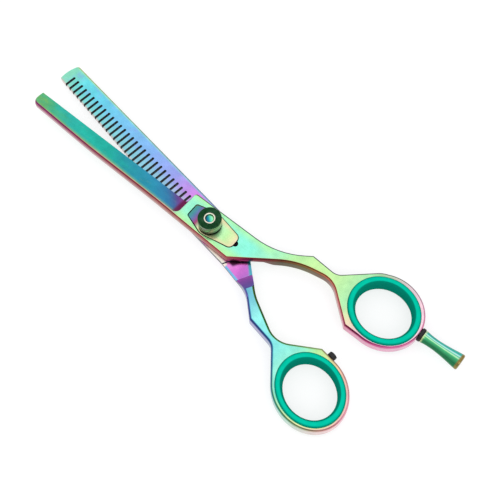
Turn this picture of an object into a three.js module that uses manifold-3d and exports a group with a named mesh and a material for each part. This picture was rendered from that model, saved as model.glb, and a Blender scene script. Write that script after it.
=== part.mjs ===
// Thinning shears: a plain blade half and a comb blade half on one adjustable pivot.
//
// Frame, in millimetres: +Z is up and z = 0 is the plane the closed shears lie on. The origin is on the
// pivot axis, at the flat underside of the screw head. +X runs along the plain blade towards its tip and
// -Y is the side that the comb half opens to.
//
// Both halves are forged alike, so each is drawn in a "half frame": z = 0 is the plane where the halves
// slide on each other, the outer face is up, the back of the blade is at +Y and the finger ring at -Y.
// The plain half stands in the part as drawn. The comb half is turned over about X, then opened about Z.

import * as THREE from "three";
import { mergeVertices } from "three/addons/utils/BufferGeometryUtils.js";
import Module from "manifold-3d";

const wasm = await Module();
wasm.setup();

// Both halves
const PARTING_Z = 3.6;
const REST_ANGLE = 8.3;
const RIDE_GAP = 0.1;
const HALF_THICKNESS = 2.6;
const PLAIN_EDGE = { width: 0.7, depth: 1.5 };
const COMB_EDGE = { width: 0.9, depth: 0.9 };
const FIT = 0.1;

// Neck: the ride face steps down, then ramps up to the full thickness of the handle
const RIDE_END_X = -13.6;
const NECK_DROP = 0.5;
const RAMP_START_X = -20.8;
const RAMP_END_X = -25.4;
const RAMP_CENTRE_Y = -3.5;
const RAMP_SKEW = 21;

// Blades
const PLAIN_LENGTH = 76.8;
const FACET_SPINE_Y = 4.25;
const FACET_TIP_Y = 2.75;
const CUTTING_EDGE_Y = -1.6;
const HEEL_X = 10.9;
const EDGE_THICKNESS = 0.55;
const HEEL_SLOPE = 1.1;

// Comb teeth
const SLOTS = 30;
const FIRST_SLOT_X = 74.0;
const SLOT_PITCH = 2.107;
const SLOT_ROOT_Y = 2.35;
const SLOT_WIDTH = 0.86;
const SLOT_ROOT_RADIUS = 0.46;

// Finger rings and their holes, all ellipses. A rubber insert is clipped over each hole's rim
const FINGER_RING = { x: -62.5, y: -12.45, a: 13.5, b: 12.3, tilt: 2.8 };
const FINGER_HOLE = { x: -62.55, y: -12.1, a: 11.7, b: 10.4, tilt: -3 };
const THUMB_RING = { x: -62.9, y: -14.27, a: 13.85, b: 11.93, tilt: 15.3 };
const THUMB_HOLE = { x: -63.1, y: -14.35, a: 11.85, b: 10.15, tilt: 15.3 };
const LIP_OVERLAP = 0.75;
const INSERT_HALF_HEIGHT = 3.6;
const INSERT_WIDTH = 2.95;

// Pivot stack, radii and heights above the resting plane
const SCREW_HEAD = { radius: 4.3, top: 0.9 };
const HEAD_WASHER = { radius: 4.5, bottom: 1.0, top: 1.4 };
const SHANK_RADIUS = 2.2;
const KEY_HALF_WIDTH = 1.7;
const THREAD_RADIUS = 1.35;
const SCREW_TOP = 10.55;
const GLIDE_WASHER = { radius: 5.0, bottom: 3.45, top: 3.75 };
const PLATE = { bottom: 5.75, top: 6.4 };
const SPRING_WASHER = { radius: 3.5, bottom: 6.5, top: 6.9 };
const KNOB = { radius: 4.0, bottom: 7.0, top: 10.8 };
const CORE = { radius: 1.92, bore: 1.45, top: 10.85 };
const NOTCH = { x: -10.9, y: 0.25, radius: 1.05 };

// Finger rest and its stud, on an axis that leaves the finger ring at its far end
const REST = { x: -75.6, y: -13.95, lean: 1.6, length: 14.6, base: 2.2, waist: 1.83, end: 2.75 };
const REST_WASHER = { radius: 2.35, thickness: 1.25 };
const STUD = { radius: 1.0, ringDepth: 1.4, restDepth: 5 };

// Bumper on the thumb ring
const BUMPER = { x: -59.4, radius: 1.45, height: 1.75, stemRadius: 0.8, stemDepth: 0.9, seatY: -2.05 };

// Outlines in the half frame, anticlockwise: x, y and the radius that rounds the corner (0 is sharp)
const PLAIN_OUTLINE = [
  [-11.8, 6.0, 1.2],
  [-30.3, -7.45, 28],
  [-43.2, -9.95, 8],
  [-55.5, -0.15, 0],
  [-61.6, -0.2, 0],
  [-61.6, -24, 1],
  [-55.2, -23.4, 9],
  [-43.2, -12.45, 4.2],
  [-33.3, -12.95, 1],
  [-23.9, -6.02, 28],
  [11.3, -5.8, 1.7],
  [11.5, -1.6, 1],
  [PLAIN_LENGTH, -1.65, 0],
  [PLAIN_LENGTH + 0.15, 3.55, 2.2],
  [50, 4.72, 0],
  [24, 4.98, 0],
];
const COMB_OUTLINE = [
  [-11.6, 6.1, 1.2],
  [-28.5, -5.7, 20],
  [-44.1, -11.65, 8],
  [-55.85, -2.2, 0],
  [-61.8, -2.2, 0],
  [-62.6, -22, 1],
  [-53.2, -22.15, 0],
  [-43.8, -13.15, 4.5],
  [-33.2, -12.7, 1],
  [-24.9, -6.8, 12],
  [-12, -5.7, 4],
  [10.6, -5.5, 1],
  [12, -4.6, 0],
  [77.3, -1.05, 0],
  [77.75, 2.8, 12],
  [76.6, 6.5, 1.1],
];
const PLATE_OUTLINE = [
  [7.75, 2.1, 0.6],
  [0.3, 4.65, 3],
  [-10.75, 2.45, 1.8],
  [-10.75, -2.25, 1.8],
  [0.3, -4.5, 3],
  [7.75, -2.45, 0.6],
];

const degrees = THREE.MathUtils.degToRad;

// A shape from corner points, each corner rounded by an arc of its own radius.
function roundedShape(corners) {
  const shape = new THREE.Shape();
  corners.forEach(([x, y, radius], i) => {
    const corner = new THREE.Vector2(x, y);
    const before = new THREE.Vector2(...corners.at(i - 1));
    const after = new THREE.Vector2(...corners[(i + 1) % corners.length]);
    const into = corner.clone().sub(before).normalize();
    const out = after.sub(corner).normalize();
    const turn = Math.atan2(into.cross(out), into.dot(out));
    const reach = radius * Math.tan(Math.abs(turn) / 2);
    const start = corner.clone().addScaledVector(into, -reach);
    if (i === 0) shape.moveTo(start.x, start.y);
    else shape.lineTo(start.x, start.y);
    if (radius === 0) return;
    const side = Math.sign(turn);
    const centre = start.clone().add(new THREE.Vector2(-into.y, into.x).multiplyScalar(side * radius));
    const from = start.clone().sub(centre).angle();
    shape.absarc(centre.x, centre.y, radius, from, from + turn, side < 0);
  });
  return shape;
}

function ellipseShape(ring) {
  const shape = new THREE.Shape();
  shape.absellipse(ring.x, ring.y, ring.a, ring.b, 0, 2 * Math.PI, false, degrees(ring.tilt));
  return shape;
}

// A plate between two heights, with square edges.
function slab(shape, bottom, top, curveSegments = 3) {
  const geometry = new THREE.ExtrudeGeometry(shape, {
    depth: top - bottom,
    bevelEnabled: false,
    curveSegments,
  });
  return geometry.translate(0, 0, bottom);
}

// A plate as thick as the handle, centred on z = 0, whose outer edges are rounded over.
function roundedSlab(shape, edge, curveSegments) {
  const geometry = new THREE.ExtrudeGeometry(shape, {
    depth: 2 * (HALF_THICKNESS - edge.depth),
    bevelThickness: edge.depth,
    bevelSize: edge.width,
    bevelOffset: -edge.width,
    bevelSegments: 3,
    curveSegments,
  });
  return geometry.translate(0, 0, edge.depth - HALF_THICKNESS);
}

// A turned piece about Z. The profile's points are radius and height.
function turned(profile, segments = 40) {
  const points = profile.map(([radius, height]) => new THREE.Vector2(radius, height));
  return new THREE.LatheGeometry(points, segments).rotateX(Math.PI / 2);
}

function disc(radius, bottom, top, segments = 40) {
  const geometry = new THREE.CylinderGeometry(radius, radius, top - bottom, segments);
  return geometry.rotateX(Math.PI / 2).translate(0, 0, (bottom + top) / 2);
}

function washer(radius, bore, bottom, top) {
  const profile = [
    [bore, bottom],
    [radius, bottom],
    [radius, top],
    [bore, top],
    [bore, bottom],
  ];
  return turned(profile);
}

function solidOf(geometry) {
  const bare = geometry.clone();
  bare.deleteAttribute("normal");
  bare.deleteAttribute("uv");
  const merged = mergeVertices(bare, 1e-4);
  return new wasm.Manifold(
    new wasm.Mesh({
      numProp: 3,
      vertProperties: merged.attributes.position.array,
      triVerts: new Uint32Array(merged.index.array),
    }),
  );
}

function geometryOf(solid) {
  const mesh = solid.getMesh();
  const geometry = new THREE.BufferGeometry();
  geometry.setAttribute("position", new THREE.BufferAttribute(mesh.vertProperties, mesh.numProp));
  geometry.setIndex(new THREE.BufferAttribute(mesh.triVerts, 1));
  geometry.computeVertexNormals();
  return geometry;
}

// The forged blank: blade, shank and ring in one plate, with the ring bored out.
function blankHalf(outline, ring, hole, edge) {
  const body = solidOf(roundedSlab(roundedShape(outline), edge, 4));
  const hoop = solidOf(roundedSlab(ellipseShape(ring), edge, 28));
  const bore = solidOf(slab(ellipseShape(hole), -HALF_THICKNESS - 1, HALF_THICKNESS + 1, 28));
  return body.add(hoop).subtract(bore);
}

// What is milled off the inner side, so that the halves lie flat on each other from neck to tip.
function rideCutter() {
  const reach = 95;
  const below = -HALF_THICKNESS - 1;
  const rampEnd = RAMP_START_X + (RAMP_END_X - RAMP_START_X) * (1 + 1 / HALF_THICKNESS);
  const profile = new THREE.Shape([
    new THREE.Vector2(reach, RIDE_GAP),
    new THREE.Vector2(RIDE_END_X, RIDE_GAP),
    new THREE.Vector2(RIDE_END_X, RIDE_GAP + NECK_DROP),
    new THREE.Vector2(RAMP_START_X, RIDE_GAP + NECK_DROP),
    new THREE.Vector2(rampEnd, below),
    new THREE.Vector2(reach, below),
  ]);
  const width = 120;
  const geometry = new THREE.ExtrudeGeometry(profile, { depth: width, bevelEnabled: false });
  geometry.translate(-RAMP_START_X, 0, -width / 2);
  geometry.rotateX(Math.PI / 2);
  geometry.rotateZ(degrees(RAMP_SKEW));
  return solidOf(geometry.translate(RAMP_START_X, RAMP_CENTRE_Y, 0));
}

// What is ground off the outer face of a blade. The cut starts along the back of the blade and deepens
// towards the cutting edge, and its heel is a sloped wall that sweeps into the back in an S-curve.
function facetCutter() {
  const length = PLAIN_LENGTH;
  const plan = roundedShape([
    [HEEL_X, FACET_SPINE_Y, 2],
    [HEEL_X - 0.6, -9, 1.2],
    [length + 9, -9, 1.2],
    [length + 9, FACET_TIP_Y, 1.2],
  ]);
  const depth = HALF_THICKNESS - RIDE_GAP;
  const prism = new THREE.ExtrudeGeometry(plan, {
    depth: 2,
    bevelThickness: depth,
    bevelSize: HEEL_SLOPE,
    bevelOffset: -HEEL_SLOPE,
    bevelSegments: 1,
    curveSegments: 4,
  });
  prism.translate(0, 0, HALF_THICKNESS);
  const across = FACET_SPINE_Y - CUTTING_EDGE_Y;
  const slope = Math.atan2(depth - EDGE_THICKNESS, across);
  const taper = Math.atan2(FACET_SPINE_Y - FACET_TIP_Y, length + 9 - HEEL_X);
  const under = new THREE.BoxGeometry(200, 60, 10);
  under.translate(0, 0, -5);
  under.rotateX(slope);
  under.rotateZ(-taper);
  under.translate(HEEL_X, FACET_SPINE_Y, HALF_THICKNESS);
  return solidOf(prism).subtract(solidOf(under));
}

// One slot between two teeth: straight sides and a wider round root.
function slotShape(x, mouthY) {
  const half = SLOT_WIDTH / 2;
  const shape = new THREE.Shape();
  const neckY = SLOT_ROOT_Y - Math.sqrt(SLOT_ROOT_RADIUS ** 2 - half ** 2);
  const neckAngle = Math.atan2(neckY - SLOT_ROOT_Y, half);
  shape.moveTo(x - half, mouthY);
  shape.lineTo(x + half, mouthY);
  shape.lineTo(x + half, neckY);
  shape.absarc(x, SLOT_ROOT_Y, SLOT_ROOT_RADIUS, neckAngle, Math.PI - neckAngle, false);
  shape.closePath();
  return shape;
}

function plainBlade() {
  const key = disc(SHANK_RADIUS + FIT, -HALF_THICKNESS - 1, HALF_THICKNESS + 1, 32);
  const keyway = solidOf(key).intersect(solidOf(new THREE.BoxGeometry(10, 2 * (KEY_HALF_WIDTH + FIT), 10)));
  const pocketShape = roundedShape(grown(PLATE_OUTLINE, 0.25));
  const pocket = slab(pocketShape, PLATE.bottom - FIT - PARTING_Z, HALF_THICKNESS + 1);
  const notch = disc(NOTCH.radius, PLATE.bottom - FIT - PARTING_Z, HALF_THICKNESS + 1, 24);
  const recess = disc(GLIDE_WASHER.radius + FIT, -1, GLIDE_WASHER.top + FIT - PARTING_Z, 36);
  const seat = new THREE.BoxGeometry(4, 5.4, 8).translate(REST.x - 2, REST.y, 0);
  const studHole = restAxis(disc(STUD.radius + FIT, -STUD.ringDepth - 1.5, 3, 20));
  return blankHalf(PLAIN_OUTLINE, FINGER_RING, FINGER_HOLE, PLAIN_EDGE)
    .subtract(rideCutter())
    .subtract(facetCutter())
    .subtract(keyway)
    .subtract(solidOf(pocket))
    .subtract(solidOf(notch.translate(NOTCH.x, NOTCH.y, 0)))
    .subtract(solidOf(recess))
    .subtract(solidOf(seat))
    .subtract(solidOf(studHole.translate(0, 0, -PARTING_Z)));
}

function combBlade() {
  const pivot = disc(SHANK_RADIUS + FIT, -HALF_THICKNESS - 1, HALF_THICKNESS + 1, 32);
  const counterbore = disc(HEAD_WASHER.radius + 0.2, PARTING_Z - HEAD_WASHER.top - FIT, HALF_THICKNESS + 1, 36);
  const recess = disc(GLIDE_WASHER.radius + FIT, -1, PARTING_Z - GLIDE_WASHER.bottom + FIT, 36);
  const stemHole = disc(BUMPER.stemRadius + FIT, -1, BUMPER.stemDepth + FIT, 20);
  stemHole.rotateX(Math.PI / 2).translate(BUMPER.x, BUMPER.seatY, 0);
  let blade = blankHalf(COMB_OUTLINE, THUMB_RING, THUMB_HOLE, COMB_EDGE)
    .subtract(rideCutter())
    .subtract(solidOf(pivot))
    .subtract(solidOf(counterbore))
    .subtract(solidOf(recess))
    .subtract(solidOf(stemHole));
  for (let i = 0; i < SLOTS; i++) {
    const shape = slotShape(FIRST_SLOT_X - i * SLOT_PITCH, -8);
    blade = blade.subtract(solidOf(slab(shape, -1, HALF_THICKNESS + 1, 2)));
  }
  return blade;
}

// Corner points moved outwards from the origin's side by a clearance, for a pocket round a plate.
function grown(corners, gap) {
  return corners.map(([x, y, radius]) => [x + Math.sign(x) * gap, y + Math.sign(y) * gap, radius + gap]);
}

// Moves a piece turned about Z onto the finger rest's axis: its +Z becomes the way out of the ring.
function restAxis(geometry) {
  geometry.rotateY(-Math.PI / 2);
  geometry.rotateZ(degrees(REST.lean));
  return geometry.translate(REST.x, REST.y, PARTING_Z);
}

// The rubber insert: a half-round inner face, and two lips that clip over the hole's rim.
function ringInsert(hole) {
  const outer = hole.a + LIP_OVERLAP;
  const rim = hole.a - FIT;
  const crown = outer - INSERT_WIDTH / 2;
  const groove = HALF_THICKNESS + FIT;
  const lipRise = INSERT_HALF_HEIGHT - groove;
  const profile = [];
  const steps = 8;
  for (let i = 0; i <= steps; i++) {
    const angle = -Math.PI / 2 + (Math.PI * i) / steps;
    profile.push([crown - (INSERT_WIDTH / 2) * Math.cos(angle), INSERT_HALF_HEIGHT * Math.sin(angle)]);
  }
  for (const angle of [30, 60, 85].map(degrees)) {
    profile.push([crown + (outer - crown) * Math.sin(angle), groove + lipRise * Math.cos(angle)]);
  }
  profile.push([outer, groove], [rim, groove], [rim, -groove], [outer, -groove]);
  for (const angle of [85, 60, 30].map(degrees)) {
    profile.push([crown + (outer - crown) * Math.sin(angle), -groove - lipRise * Math.cos(angle)]);
  }
  profile.push(profile[0]);
  const geometry = turned(profile.reverse(), 56);
  geometry.scale(1, hole.b / hole.a, 1);
  geometry.rotateZ(degrees(hole.tilt));
  return geometry.translate(hole.x, hole.y, 0);
}

function pivotScrew() {
  const head = [
    [0, 0],
    [SCREW_HEAD.radius - 0.3, 0],
    [SCREW_HEAD.radius, 0.3],
    [SCREW_HEAD.radius, SCREW_HEAD.top],
    [SHANK_RADIUS, SCREW_HEAD.top],
    [SHANK_RADIUS, PLATE.bottom - FIT],
    [THREAD_RADIUS, PLATE.bottom - FIT],
    [THREAD_RADIUS, SCREW_TOP - 0.3],
    [THREAD_RADIUS - 0.35, SCREW_TOP],
    [0, SCREW_TOP],
  ];
  const flat = new THREE.BoxGeometry(10, 2, 3);
  const flatZ = PARTING_Z + 1.5 + RIDE_GAP;
  return solidOf(turned(head))
    .subtract(solidOf(flat.clone().translate(0, KEY_HALF_WIDTH + 1, flatZ)))
    .subtract(solidOf(flat.translate(0, -KEY_HALF_WIDTH - 1, flatZ)));
}

// The leaf under the knob: a flat plate whose front end slopes down into its pocket.
function tensionPlate() {
  const plate = solidOf(slab(roundedShape(PLATE_OUTLINE), PLATE.bottom, PLATE.top));
  const bore = solidOf(disc(THREAD_RADIUS + 0.15, 0, 10, 28));
  const slope = new THREE.BoxGeometry(10, 20, 4).translate(5, 0, 2);
  slope.rotateY(degrees(8)).translate(3.9, 0, PLATE.top);
  return plate.subtract(bore).subtract(solidOf(slope));
}

function springWasher() {
  const thickness = 0.25;
  const bore = THREAD_RADIUS + 0.2;
  const profile = [
    [bore, SPRING_WASHER.top - thickness],
    [SPRING_WASHER.radius, SPRING_WASHER.bottom],
    [SPRING_WASHER.radius, SPRING_WASHER.bottom + thickness],
    [bore, SPRING_WASHER.top],
    [bore, SPRING_WASHER.top - thickness],
  ];
  return turned(profile);
}

function knobBody() {
  const bore = CORE.radius + FIT;
  const soft = 0.35;
  const profile = [
    [bore, KNOB.bottom],
    [KNOB.radius - soft, KNOB.bottom],
    [KNOB.radius, KNOB.bottom + soft],
    [KNOB.radius, KNOB.top - soft],
    [KNOB.radius - 0.1, KNOB.top - 0.1],
    [KNOB.radius - soft, KNOB.top],
    [bore, KNOB.top],
    [bore, KNOB.bottom],
  ];
  return turned(profile, 48);
}

function knobCore() {
  const profile = [
    [CORE.bore, KNOB.bottom],
    [CORE.radius, KNOB.bottom],
    [CORE.radius, CORE.top],
    [CORE.bore + 0.25, CORE.top],
    [CORE.bore, CORE.top - 0.3],
    [CORE.bore, KNOB.bottom],
  ];
  return turned(profile);
}

// The bumper, drawn about Z with its seat at z = 0 and its stem below, then turned to point at the
// other ring. In the half frame that is +Y.
function bumper() {
  const soft = 0.35;
  const profile = [
    [0, -BUMPER.stemDepth],
    [BUMPER.stemRadius, -BUMPER.stemDepth],
    [BUMPER.stemRadius, FIT],
    [BUMPER.radius, FIT],
    [BUMPER.radius, BUMPER.height - soft],
    [BUMPER.radius - 0.1, BUMPER.height - 0.1],
    [BUMPER.radius - soft, BUMPER.height],
    [0, BUMPER.height],
  ];
  const geometry = turned(profile, 28);
  return geometry.rotateX(-Math.PI / 2).translate(BUMPER.x, BUMPER.seatY, 0);
}

// The flared finger rest, bored for its stud.
function fingerRest() {
  const base = REST_WASHER.thickness + FIT;
  const outer = new THREE.SplineCurve([
    new THREE.Vector2(REST.base, base),
    new THREE.Vector2(REST.base - 0.22, base + 1.5),
    new THREE.Vector2(REST.waist, base + 4.2),
    new THREE.Vector2(REST.waist + 0.33, base + 8.2),
    new THREE.Vector2(REST.end - 0.06, base + 13.2),
    new THREE.Vector2(REST.end, base + REST.length - 0.5),
  ]);
  const bore = STUD.radius + FIT;
  const profile = [
    [0, base + STUD.restDepth],
    [bore, base + STUD.restDepth],
    [bore, base],
    ...outer.getPoints(12).map((point) => [point.x, point.y]),
    [REST.end - 0.3, base + REST.length - 0.15],
    [0, base + REST.length],
  ];
  return restAxis(turned(profile, 32));
}

function restStud() {
  const end = REST_WASHER.thickness + STUD.restDepth - 0.2;
  return restAxis(disc(STUD.radius, -STUD.ringDepth, end, 20));
}

function restWasher() {
  return restAxis(washer(REST_WASHER.radius, STUD.radius + FIT, FIT, REST_WASHER.thickness));
}

function material(color, metalness, roughness) {
  return new THREE.MeshStandardMaterial({ color, metalness, roughness });
}

const MATERIALS = {
  blade: material("#6fd9b8", 1.0, 0.18),
  comb: material("#a9c8f2", 1.0, 0.18),
  screw: material("#7fe0d0", 1.0, 0.2),
  knob: material("#10381f", 0.4, 0.15),
  core: material("#ded8c4", 1.0, 0.25),
  spring: material("#b9bdb8", 1.0, 0.35),
  nylon: material("#ece9df", 0.0, 0.5),
  insert: material("#0fae86", 0.0, 0.35),
  rubber: material("#1b1c1c", 0.0, 0.6),
  rest: material("#37a892", 1.0, 0.18),
};

// A named mesh from a geometry, or from a solid that was cut or joined.
function piece(name, source, look) {
  const geometry = source.isBufferGeometry ? source : geometryOf(source);
  const mesh = new THREE.Mesh(geometry, MATERIALS[look]);
  mesh.name = name;
  return mesh;
}

const shears = new THREE.Group();

const plainHalf = new THREE.Group();
plainHalf.position.z = PARTING_Z;
plainHalf.add(
  piece("plain_blade_half", plainBlade(), "blade"),
  piece("finger_ring_insert", ringInsert(FINGER_HOLE), "insert"),
);

const combHalf = new THREE.Group();
combHalf.position.z = PARTING_Z;
combHalf.rotation.set(Math.PI, 0, degrees(REST_ANGLE));
combHalf.add(
  piece("comb_blade_half", combBlade(), "comb"),
  piece("thumb_ring_insert", ringInsert(THUMB_HOLE), "insert"),
  piece("ring_bumper", bumper(), "rubber"),
);

const pivot = new THREE.Group();
const headWasher = washer(HEAD_WASHER.radius, SHANK_RADIUS + FIT, HEAD_WASHER.bottom, HEAD_WASHER.top);
const glideWasher = washer(GLIDE_WASHER.radius, SHANK_RADIUS + FIT, GLIDE_WASHER.bottom, GLIDE_WASHER.top);
pivot.add(
  piece("pivot_screw", pivotScrew(), "screw"),
  piece("screw_head_washer", headWasher, "nylon"),
  piece("glide_washer", glideWasher, "nylon"),
  piece("tension_plate", tensionPlate(), "blade"),
  piece("spring_washer", springWasher(), "spring"),
  piece("tension_knob", knobBody(), "knob"),
  piece("knob_core", knobCore(), "core"),
);

const restGroup = new THREE.Group();
restGroup.add(
  piece("finger_rest_washer", restWasher(), "rubber"),
  piece("finger_rest", fingerRest(), "rest"),
  piece("finger_rest_stud", restStud(), "spring"),
);

shears.add(plainHalf, combHalf, pivot, restGroup);

export default shears;
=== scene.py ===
"""Looks for the thinning shears: finely finished pieces that stand for the CAD nodes, rainbow-coated
steel, teal rubber, a pale floor and soft studio light. Sizes are in millimetres until a mesh is made."""

import math

import bmesh
import bpy
from mathutils import Matrix, Vector


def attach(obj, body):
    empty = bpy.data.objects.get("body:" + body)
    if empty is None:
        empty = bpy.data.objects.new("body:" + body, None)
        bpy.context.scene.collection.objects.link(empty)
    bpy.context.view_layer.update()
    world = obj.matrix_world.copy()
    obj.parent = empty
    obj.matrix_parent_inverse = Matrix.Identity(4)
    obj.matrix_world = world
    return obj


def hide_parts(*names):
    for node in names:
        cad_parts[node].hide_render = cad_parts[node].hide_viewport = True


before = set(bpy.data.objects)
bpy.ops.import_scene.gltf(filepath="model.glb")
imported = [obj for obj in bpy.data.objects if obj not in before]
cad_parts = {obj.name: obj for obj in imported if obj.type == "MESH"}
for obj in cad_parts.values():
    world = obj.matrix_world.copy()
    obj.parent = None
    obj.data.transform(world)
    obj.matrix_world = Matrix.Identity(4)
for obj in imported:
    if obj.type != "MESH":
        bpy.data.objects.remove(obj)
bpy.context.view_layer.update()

MM = 0.001

# Heights and sizes that the pieces share with the CAD model
PARTING_Z = 3.6
REST_ANGLE = math.radians(8.3)
HALF_THICKNESS = 2.6
RIDE_GAP = 0.1
PLAIN_EDGE = {"width": 0.7, "depth": 1.5, "blade": 1.4}
COMB_EDGE = {"width": 0.9, "depth": 0.9, "blade": 1.0}
NECK_DROP = 0.5
RIDE_END_X = -13.6
RAMP_START_X = -20.8
RAMP_END_X = -25.4
RAMP_CENTRE_Y = -3.5
RAMP_SKEW = math.radians(21)
PLAIN_LENGTH = 76.8
FACET_SPINE_Y = 4.25
FACET_TIP_Y = 2.75
CUTTING_EDGE_Y = -1.6
HEEL_X = 10.9
EDGE_THICKNESS = 0.55
HEEL_SLOPE = 1.1
SLOTS = 30
FIRST_SLOT_X = 74.0
SLOT_PITCH = 2.107
SLOT_ROOT_Y = 2.35
SLOT_WIDTH = 0.86
SLOT_ROOT_RADIUS = 0.46
BORE_RADIUS = 2.3
KEY_HALF_WIDTH = 1.8
WASHER_RECESS = {"radius": 5.1, "depth": 0.25}
HEAD_RECESS = {"radius": 4.7, "floor": 2.1}
STUD_RADIUS = 1.1
STEM_RADIUS = 0.9
POCKET_GAP = 0.25
LIP_OVERLAP = 0.75
INSERT_HALF_HEIGHT = 3.6
INSERT_WIDTH = 2.95
FIT = 0.1
COMB_TIP = {"x": 77.3, "y": -1.05}

# Slopes along the blades: the plain blade's spine, the comb's tooth tips and the comb's back
SPINE_TAPER = 0.0178
TIPS_TAPER = 0.0545
BACK_TAPER = 0.0045
# Half the length along x that the coat's colours are laid out over
REACH = 78

FINGER_RING = {"x": -62.5, "y": -12.45, "a": 13.5, "b": 12.3, "tilt": math.radians(2.8)}
FINGER_HOLE = {"x": -62.55, "y": -12.1, "a": 11.7, "b": 10.4, "tilt": math.radians(-3)}
THUMB_RING = {"x": -62.9, "y": -14.27, "a": 13.85, "b": 11.93, "tilt": math.radians(15.3)}
THUMB_HOLE = {"x": -63.1, "y": -14.35, "a": 11.85, "b": 10.15, "tilt": math.radians(15.3)}
PLATE_BOTTOM = 5.75
PLATE_TOP = 6.4
NOTCH = {"x": -10.9, "y": 0.25, "radius": 1.05}
REST = {"x": -75.6, "y": -13.95, "lean": math.radians(1.6)}
BUMPER = {"x": -59.4, "seat_y": -2.05, "radius": 1.45, "height": 1.75}

# Outlines in the half frame, anticlockwise: x, y and the radius that rounds the corner
PLAIN_OUTLINE = [
    (-11.8, 6.0, 1.2),
    (-30.3, -7.45, 28),
    (-43.2, -9.95, 8),
    (-55.5, -0.15, 0.3),
    (-61.6, -0.2, 0.1),
    (-61.6, -24, 1),
    (-55.2, -23.4, 9),
    (-43.2, -12.45, 4.2),
    (-33.3, -12.95, 1),
    (-23.9, -6.02, 28),
    (11.3, -5.8, 1.7),
    (11.5, -1.6, 1),
    (PLAIN_LENGTH, -1.65, 0.2),
    (PLAIN_LENGTH + 0.15, 3.55, 2.2),
    (50, 4.72, 300),
    (24, 4.98, 400),
]
COMB_OUTLINE = [
    (-11.6, 6.1, 1.2),
    (-28.5, -5.7, 20),
    (-44.1, -11.65, 8),
    (-55.85, -2.2, 0.3),
    (-61.8, -2.2, 0.1),
    (-62.6, -22, 1),
    (-53.2, -22.15, 0.1),
    (-43.8, -13.15, 4.5),
    (-33.2, -12.7, 1),
    (-24.9, -6.8, 12),
    (-12, -5.7, 4),
    (10.6, -5.5, 1),
    (12, -4.6, 0.3),
    (COMB_TIP["x"], COMB_TIP["y"], 0.3),
    (77.75, 2.8, 12),
    (76.6, 6.5, 1.1),
]
PLATE_OUTLINE = [
    (7.75, 2.1, 0.6),
    (0.3, 4.65, 3),
    (-10.75, 2.45, 1.8),
    (-10.75, -2.25, 1.8),
    (0.3, -4.5, 3),
    (7.75, -2.45, 0.6),
]


# ---- mesh building


def outline(corners, inset=0.0, steps=8):
    """The corner polygon moved inwards by inset, each corner an arc of the same number of points."""
    points = []
    count = len(corners)
    for i, (x, y, radius) in enumerate(corners):
        corner = Vector((x, y))
        into = (corner - Vector(corners[i - 1][:2])).normalized()
        out = (Vector(corners[(i + 1) % count][:2]) - corner).normalized()
        turn = math.atan2(into.cross(out), into.dot(out))
        left_in = Vector((-into.y, into.x))
        left_out = Vector((-out.y, out.x))
        moved = corner + (left_in + left_out) * (inset / (1 + into.dot(out)))
        fillet = max(radius - math.copysign(inset, turn), 0.02)
        start = moved - into * fillet * math.tan(abs(turn) / 2)
        centre = start + left_in * math.copysign(fillet, turn)
        arm = start - centre
        for k in range(steps + 1):
            spun = arm.copy()
            spun.rotate(Matrix.Rotation(turn * k / steps, 2))
            points.append(centre + spun)
    return points


def ellipse(ring, inset=0.0, count=160):
    points = []
    for k in range(count):
        angle = 2 * math.pi * k / count
        point = Vector(((ring["a"] - inset) * math.cos(angle), (ring["b"] - inset) * math.sin(angle)))
        point.rotate(Matrix.Rotation(ring["tilt"], 2))
        points.append(point + Vector((ring["x"], ring["y"])))
    return points


def new_object(name, verts, faces):
    """A mesh object from points in millimetres."""
    mesh = bpy.data.meshes.new(name)
    mesh.from_pydata([(x * MM, y * MM, z * MM) for x, y, z in verts], [], faces)
    mesh.update()
    obj = bpy.data.objects.new(name, mesh)
    bpy.context.scene.collection.objects.link(obj)
    return obj


def loft(name, levels):
    """A closed solid from loops of points, each at its own height, the lowest first."""
    verts, faces = [], []
    count = len(levels[0][0])
    for points, z in levels:
        verts += [(p[0], p[1], z) for p in points]
    faces.append(list(range(count))[::-1])
    for level in range(len(levels) - 1):
        low, high = level * count, (level + 1) * count
        for k in range(count):
            n = (k + 1) % count
            faces.append((low + k, low + n, high + n, high + k))
    last = (len(levels) - 1) * count
    faces.append(list(range(last, last + count)))
    return new_object(name, verts, faces)


def lathe(name, profile, segments=96):
    """A turned piece about Z from radius and height points, from the axis at the bottom to the axis at
    the top, or a closed loop that stays off the axis."""
    verts, faces, rings = [], [], []
    closed = profile[0][0] > 0
    for radius, z in profile:
        if radius == 0:
            rings.append([len(verts)])
            verts.append((0, 0, z))
            continue
        rings.append(list(range(len(verts), len(verts) + segments)))
        for k in range(segments):
            angle = 2 * math.pi * k / segments
            verts.append((radius * math.cos(angle), radius * math.sin(angle), z))
    pairs = list(zip(rings, rings[1:]))
    if closed:
        pairs.append((rings[-1], rings[0]))
    for low, high in pairs:
        for k in range(segments):
            n = (k + 1) % segments
            if len(low) == 1:
                faces.append((low[0], high[n], high[k]))
            elif len(high) == 1:
                faces.append((low[k], low[n], high[0]))
            else:
                faces.append((low[k], low[n], high[n], high[k]))
    return new_object(name, verts, faces)


def rounded(profile, steps=5):
    """A profile of (radius, height, fillet) points, with the filleted ones replaced by small arcs."""
    points = []
    for i, (r, z, fillet) in enumerate(profile):
        if fillet == 0:
            points.append((r, z))
            continue
        corner = Vector((r, z))
        into = (Vector(profile[i - 1][:2]) - corner).normalized()
        out = (Vector(profile[(i + 1) % len(profile)][:2]) - corner).normalized()
        for k in range(steps + 1):
            t = k / steps
            bend = (1 - t) ** 2 * (corner + into * fillet) + 2 * t * (1 - t) * corner
            points.append(tuple(bend + t**2 * (corner + out * fillet)))
    return points


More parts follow.
